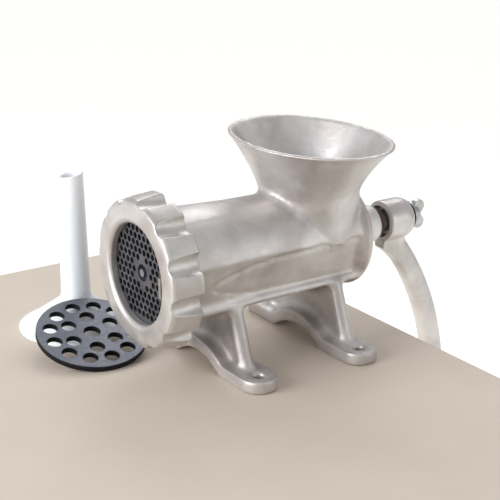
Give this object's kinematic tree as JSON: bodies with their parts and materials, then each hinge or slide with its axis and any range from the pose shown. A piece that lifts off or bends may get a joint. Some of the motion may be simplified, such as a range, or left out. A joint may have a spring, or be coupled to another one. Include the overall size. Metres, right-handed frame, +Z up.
{
  "type": "hand crank meat grinder",
  "caption": "Bolt-down hand crank meat grinder with flared hopper, lobed ring, pierced plate and curved crank, with a stuffing tube and a spare coarse plate beside it.",
  "frame": {"origin": "centre of the four bolt holes, on the plane the feet stand on", "axes": "+Z up; the feed axis runs along Y with the outlet facing -Y and the crank at +Y; +X is to the right of someone who faces the outlet end"},
  "size_m": [0.234, 0.424, 0.283],
  "materials": {
    "casting": "hot-tinned grey cast iron, satin",
    "screw_iron": "tinned cast iron, worn smooth",
    "bush": "turned brass, plain",
    "key": "tinned steel lug",
    "fibre": "pressed fibre, oiled brown",
    "steel": "turned steel",
    "zinc": "zinc plated steel",
    "knife": "ground carbon steel",
    "plate_steel": "dark ground carbon steel, drilled",
    "wood": "turned beech, thin varnish",
    "tube": "bluish white moulded polyethylene"
  },
  "bodies": {
    "frame": {"body_casting": "casting", "rear_bush": "bush", "plate_key": "key", "thrust_washer": "fibre"},
    "feed": {"feed_screw": "screw_iron", "feed_stud": "steel", "stud_pin": "steel", "knife": "knife", "crank_arm": "casting", "hub_washer": "fibre", "screw_washer": "steel", "thumb_screw": "zinc", "grip_axle": "steel", "grip_washers": "steel", "axle_nut": "steel"},
    "grip": {"crank_grip": "wood", "grip_ferrules": "steel"},
    "plate": {"fine_plate": "plate_steel"},
    "ring": {"retaining_ring": "casting"},
    "tube": {"stuffing_tube": "tube"},
    "loose_plate": {"coarse_plate": "plate_steel"}
  },
  "joints": [
    {"name": "crank_turn", "type": "hinge", "parent": "frame", "child": "feed", "pos_m": [0, 0, 0.078], "axis": [0, -1, 0], "continuous": true},
    {"name": "grip_spin", "type": "hinge", "parent": "feed", "child": "grip", "pos_m": [0, 0.1715, -0.112], "axis": [0, 1, 0], "continuous": true},
    {"name": "plate_slide", "type": "slide", "parent": "frame", "child": "plate", "axis": [0, -1, 0], "range_m": [0, 0.02]},
    {"name": "ring_turn", "type": "hinge", "parent": "plate", "child": "ring", "pos_m": [0, -0.095, 0.078], "axis": [0, -1, 0], "range_deg": [0, 1440]},
    {"name": "tube_slide", "type": "slide", "parent": "frame", "child": "tube", "axis": [-1, 0, 0], "range_m": [0, 0.12]},
    {"name": "coarse_slide", "type": "slide", "parent": "frame", "child": "loose_plate", "axis": [0, -1, 0], "range_m": [0, 0.12]}
  ],
  "couplings": [
    {"joint": "plate_slide", "follows": "ring_turn", "m_per_rad": 0.00079577}
  ]
}
